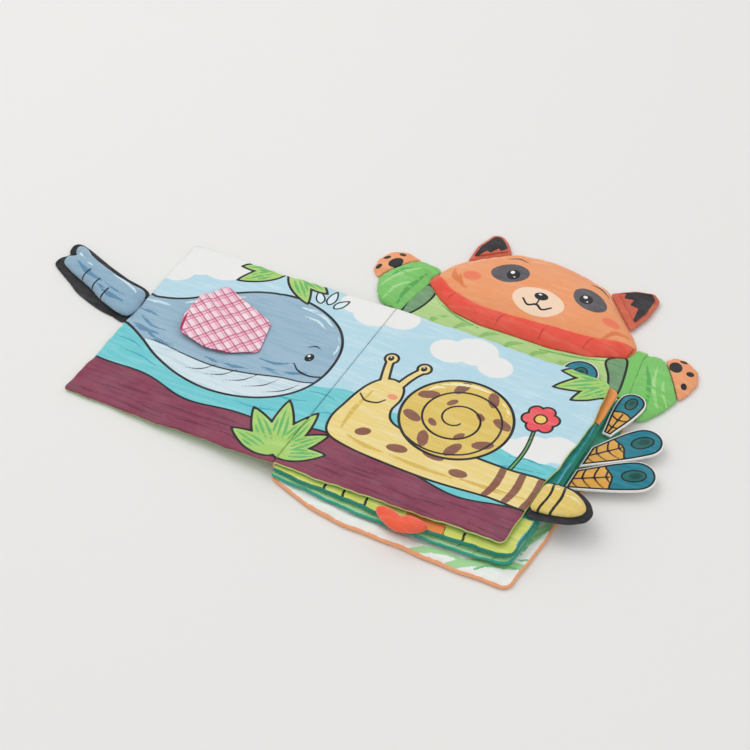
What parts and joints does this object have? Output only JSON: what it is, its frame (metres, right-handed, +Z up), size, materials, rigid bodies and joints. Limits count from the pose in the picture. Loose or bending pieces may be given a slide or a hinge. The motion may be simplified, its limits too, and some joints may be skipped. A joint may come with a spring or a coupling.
{
  "type": "crinkle cloth book",
  "caption": "Crinkle cloth book lying open, with sewn pages that turn, a plaid fin flap, stuffed tabs, felt feathers and a stuffed animal head with arms.",
  "frame": {"origin": "on the underside of the back cover, 90 mm from the spine and midway between the foot and the head of a page, where the book rests on a table", "axes": "+X from the spine towards the fore edge of the right-hand pages, +Y from the foot of the page to its head, +Z up"},
  "size_m": [0.5107, 0.3293, 0.0243],
  "materials": {
    "printed_page": "printed satin-weave polyester page, matt with a slight sheen",
    "plum_print": "printed polyester page in plum, sky and teal",
    "leaf_print": "printed polyester page in leaf green, plum and sky",
    "lime_print": "printed polyester page with a lime margin and short black ticks",
    "teal_cloth": "printed polyester with a teal edge",
    "pale_print": "printed polyester in pale green with brush strokes",
    "white_print": "white polyester page with pale green strokes",
    "peach_cloth": "peach polyester cloth",
    "crinkle_film": "thin crackling film, never seen",
    "thread": "white sewing thread",
    "blue_velour": "short-pile grey-blue velour",
    "black_felt": "black felt",
    "wadding": "polyester wadding, never seen",
    "plaid": "pink plaid cotton",
    "crimson_lining": "crimson cotton lining",
    "yellow_velour": "printed yellow velour with black bands",
    "coral_velour": "coral velour",
    "feather_felt": "printed felt in teal and gold",
    "white_felt": "white felt backing",
    "orange_cloth": "soft orange polyester",
    "rust_cloth": "rust polyester",
    "green_cloth": "bright green polyester"
  },
  "bodies": {
    "back_cover": {"back_cover_lower_cloth": "peach_cloth", "back_cover_crinkle_film": "crinkle_film", "back_cover_upper_cloth": "white_print", "spine_binding": "peach_cloth", "spine_stitching": "thread", "shoulder_panel": "pale_print", "right_shoulder": "green_cloth"},
    "leaf_three": {"leaf_three_lower_cloth": "teal_cloth", "leaf_three_crinkle_film": "crinkle_film", "leaf_three_upper_cloth": "pale_print"},
    "leaf_two": {"leaf_two_lower_cloth": "teal_cloth", "leaf_two_crinkle_film": "crinkle_film", "leaf_two_upper_cloth": "lime_print"},
    "leaf_one": {"leaf_one_lower_cloth": "printed_page", "leaf_one_crinkle_film": "crinkle_film", "leaf_one_upper_cloth": "leaf_print"},
    "front_cover": {"front_cover_lower_cloth": "leaf_print", "front_cover_crinkle_film": "crinkle_film", "front_cover_upper_cloth": "plum_print"},
    "fluke": {"fluke_back": "black_felt", "fluke_wadding": "wadding", "fluke_face": "blue_velour"},
    "fin": {"fin_lining": "crimson_lining", "fin_plaid_face": "plaid"},
    "tail_tip": {"tail_tip_back": "black_felt", "tail_tip_wadding": "wadding", "tail_tip_face": "yellow_velour"},
    "heart_tab": {"heart_tab_face": "coral_velour", "heart_tab_back": "coral_velour"},
    "head": {"head_back": "orange_cloth", "head_wadding": "wadding", "head_face": "orange_cloth", "collar_band": "coral_velour"},
    "left_ear": {"left_ear_cloth": "rust_cloth", "left_ear_inner": "black_felt"},
    "right_ear": {"right_ear_cloth": "rust_cloth", "right_ear_inner": "black_felt"},
    "left_arm": {"left_sleeve": "green_cloth", "left_paw": "orange_cloth"},
    "right_arm": {"right_sleeve": "green_cloth", "right_paw": "orange_cloth"},
    "feather_low": {"feather_low_backing": "white_felt", "feather_low_face": "feather_felt"},
    "feather_middle": {"feather_middle_backing": "white_felt", "feather_middle_face": "feather_felt"},
    "feather_high": {"feather_high_backing": "white_felt", "feather_high_face": "feather_felt"},
    "feather_top": {"feather_top_backing": "white_felt", "feather_top_face": "feather_felt"}
  },
  "joints": [
    {"name": "leaf_three_turn", "type": "hinge", "parent": "back_cover", "child": "leaf_three", "pos_m": [-0.09, 0, 0.014], "axis": [0, 1, 0], "range_deg": [-180, 0]},
    {"name": "leaf_two_turn", "type": "hinge", "parent": "leaf_three", "child": "leaf_two", "pos_m": [-0.09, 0, 0.014], "axis": [0, 1, 0], "range_deg": [-180, 0]},
    {"name": "leaf_one_turn", "type": "hinge", "parent": "leaf_two", "child": "leaf_one", "pos_m": [-0.09, 0, 0.014], "axis": [0, 1, 0], "range_deg": [-180, 0]},
    {"name": "front_cover_turn", "type": "hinge", "parent": "back_cover", "child": "front_cover", "pos_m": [-0.09, 0, 0.014], "axis": [0, -1, 0], "range_deg": [-180, 0]},
    {"name": "fluke_bend", "type": "hinge", "parent": "front_cover", "child": "fluke", "pos_m": [-0.27, 0.0075, 0.0016], "axis": [0, 1, 0], "range_deg": [0, 60]},
    {"name": "fin_lift", "type": "hinge", "parent": "front_cover", "child": "fin", "pos_m": [-0.19381, 0.0487, 0.00769], "axis": [-0.9158, 0.3981, -0.053], "range_deg": [0, 110]},
    {"name": "tail_tip_bend", "type": "hinge", "parent": "leaf_one", "child": "tail_tip", "pos_m": [0.09029, -0.0365, 0.01681], "axis": [0, -1, 0], "range_deg": [0, 60]},
    {"name": "heart_tab_bend", "type": "hinge", "parent": "leaf_two", "child": "heart_tab", "pos_m": [0.01654, -0.0991, 0.01237], "axis": [0.9999, 0, 0.0166], "range_deg": [0, 40]},
    {"name": "feather_low_bend", "type": "hinge", "parent": "leaf_three", "child": "feather_low", "pos_m": [0.09986, -0.0005, 0.00669], "axis": [0, -1, 0], "range_deg": [0, 60]},
    {"name": "feather_middle_bend", "type": "hinge", "parent": "leaf_three", "child": "feather_middle", "pos_m": [0.09986, 0.0245, 0.00669], "axis": [0, -1, 0], "range_deg": [0, 60]},
    {"name": "feather_high_bend", "type": "hinge", "parent": "leaf_three", "child": "feather_high", "pos_m": [0.09726, 0.0755, 0.00667], "axis": [0, -1, 0], "range_deg": [0, 60]},
    {"name": "feather_top_bend", "type": "hinge", "parent": "leaf_three", "child": "feather_top", "pos_m": [0.06006, 0.0946, 0.00638], "axis": [1, 0, 0.0079], "range_deg": [0, 60]},
    {"name": "head_nod", "type": "hinge", "parent": "back_cover", "child": "head", "pos_m": [0, 0.1117, 0.0034], "axis": [1, 0, 0], "range_deg": [0, 80]},
    {"name": "left_arm_lift", "type": "hinge", "parent": "back_cover", "child": "left_arm", "pos_m": [-0.0905, 0.129, 0.0016], "axis": [0.105, 0.9945, 0], "range_deg": [0, 60]},
    {"name": "right_arm_lift", "type": "hinge", "parent": "back_cover", "child": "right_arm", "pos_m": [0.1085, 0.1145, 0.0016], "axis": [0.4408, -0.8976, 0], "range_deg": [0, 50]},
    {"name": "left_ear_bend", "type": "hinge", "parent": "head", "child": "left_ear", "pos_m": [-0.0598, 0.1895, 0.0027], "axis": [0.753, 0.658, 0], "range_deg": [0, 50]},
    {"name": "right_ear_bend", "type": "hinge", "parent": "head", "child": "right_ear", "pos_m": [0.05745, 0.1816, 0.0027], "axis": [0.7026, -0.7116, 0], "range_deg": [0, 50]}
  ]
}
